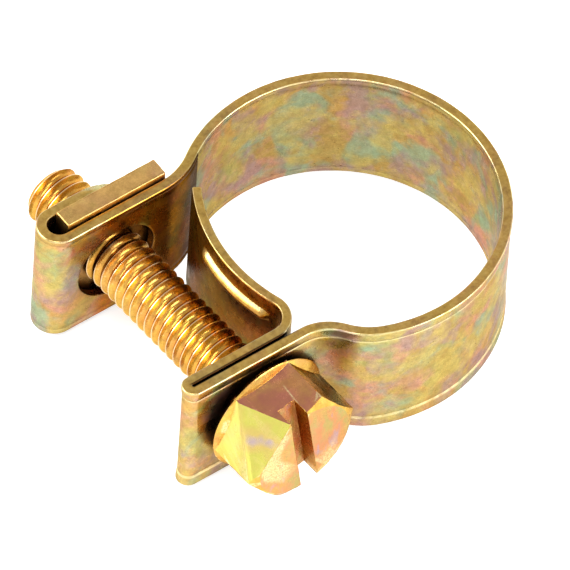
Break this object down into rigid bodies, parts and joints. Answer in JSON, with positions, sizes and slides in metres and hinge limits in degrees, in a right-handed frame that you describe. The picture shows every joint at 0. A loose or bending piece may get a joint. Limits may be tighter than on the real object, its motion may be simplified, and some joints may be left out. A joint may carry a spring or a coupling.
{
  "type": "hose clamp",
  "caption": "Round sheet-metal hose clamp with two ears, drawn together by a slotted hex screw and a plate nut, with a ribbed bridge tongue under the gap.",
  "frame": {"origin": "centre of the clamp's box; the ring's centre is at (0.00321, -0.00119, 0), at the middle of the band's width", "axes": "+Z along the axis of the hose, the two ears to -X, the screw 2.4 degrees off Y with its head at -Y and its tip at +Y"},
  "size_m": [0.0268, 0.0248, 0.0098],
  "materials": {
    "band_plate": "yellow passivated zinc plate, satin, with green, pink and mauve interference colours",
    "screw_plate": "yellow passivated zinc plate, glossy orange gold",
    "nut_plate": "yellow passivated zinc plate, tan gold"
  },
  "bodies": {
    "head_side": {"band_head_side": "band_plate"},
    "nut_side": {"band_nut_side": "band_plate"},
    "nut_loop": {"nut_ear": "band_plate"},
    "tongue": {"bridge_tongue": "band_plate"},
    "screw": {"clamp_screw": "screw_plate"},
    "nut": {"plate_nut": "nut_plate"}
  },
  "joints": [
    {"name": "screw_turn", "type": "hinge", "parent": "head_side", "child": "screw", "pos_m": [-0.00815, -0.00119, 0], "axis": [-0.0419, 0.9991, 0], "range_deg": [0, 2520]},
    {"name": "nut_travel", "type": "slide", "parent": "head_side", "child": "nut", "axis": [0.0419, -0.9991, 0], "range_m": [0, 0.0049]},
    {"name": "band_flex", "type": "hinge", "parent": "head_side", "child": "nut_side", "pos_m": [0.0117, 0.00381, 0], "axis": [0, 0, 1], "range_deg": [0, 18.2]},
    {"name": "ear_flex", "type": "hinge", "parent": "nut_side", "child": "nut_loop", "pos_m": [-0.00366, 0.00631, 0], "axis": [0, 0, 1], "range_deg": [-18.2, 0]},
    {"name": "tongue_flex", "type": "hinge", "parent": "head_side", "child": "tongue", "pos_m": [-0.00469, -0.00609, 0], "axis": [0, 0, 1], "range_deg": [-24, 0]}
  ],
  "couplings": [
    {"joint": "screw_turn", "follows": "nut_travel", "rad_per_m": 8975.9},
    {"joint": "band_flex", "follows": "nut_travel", "rad_per_m": 64.82},
    {"joint": "ear_flex", "follows": "nut_travel", "rad_per_m": -64.82},
    {"joint": "tongue_flex", "follows": "nut_travel", "rad_per_m": -85.48}
  ]
}
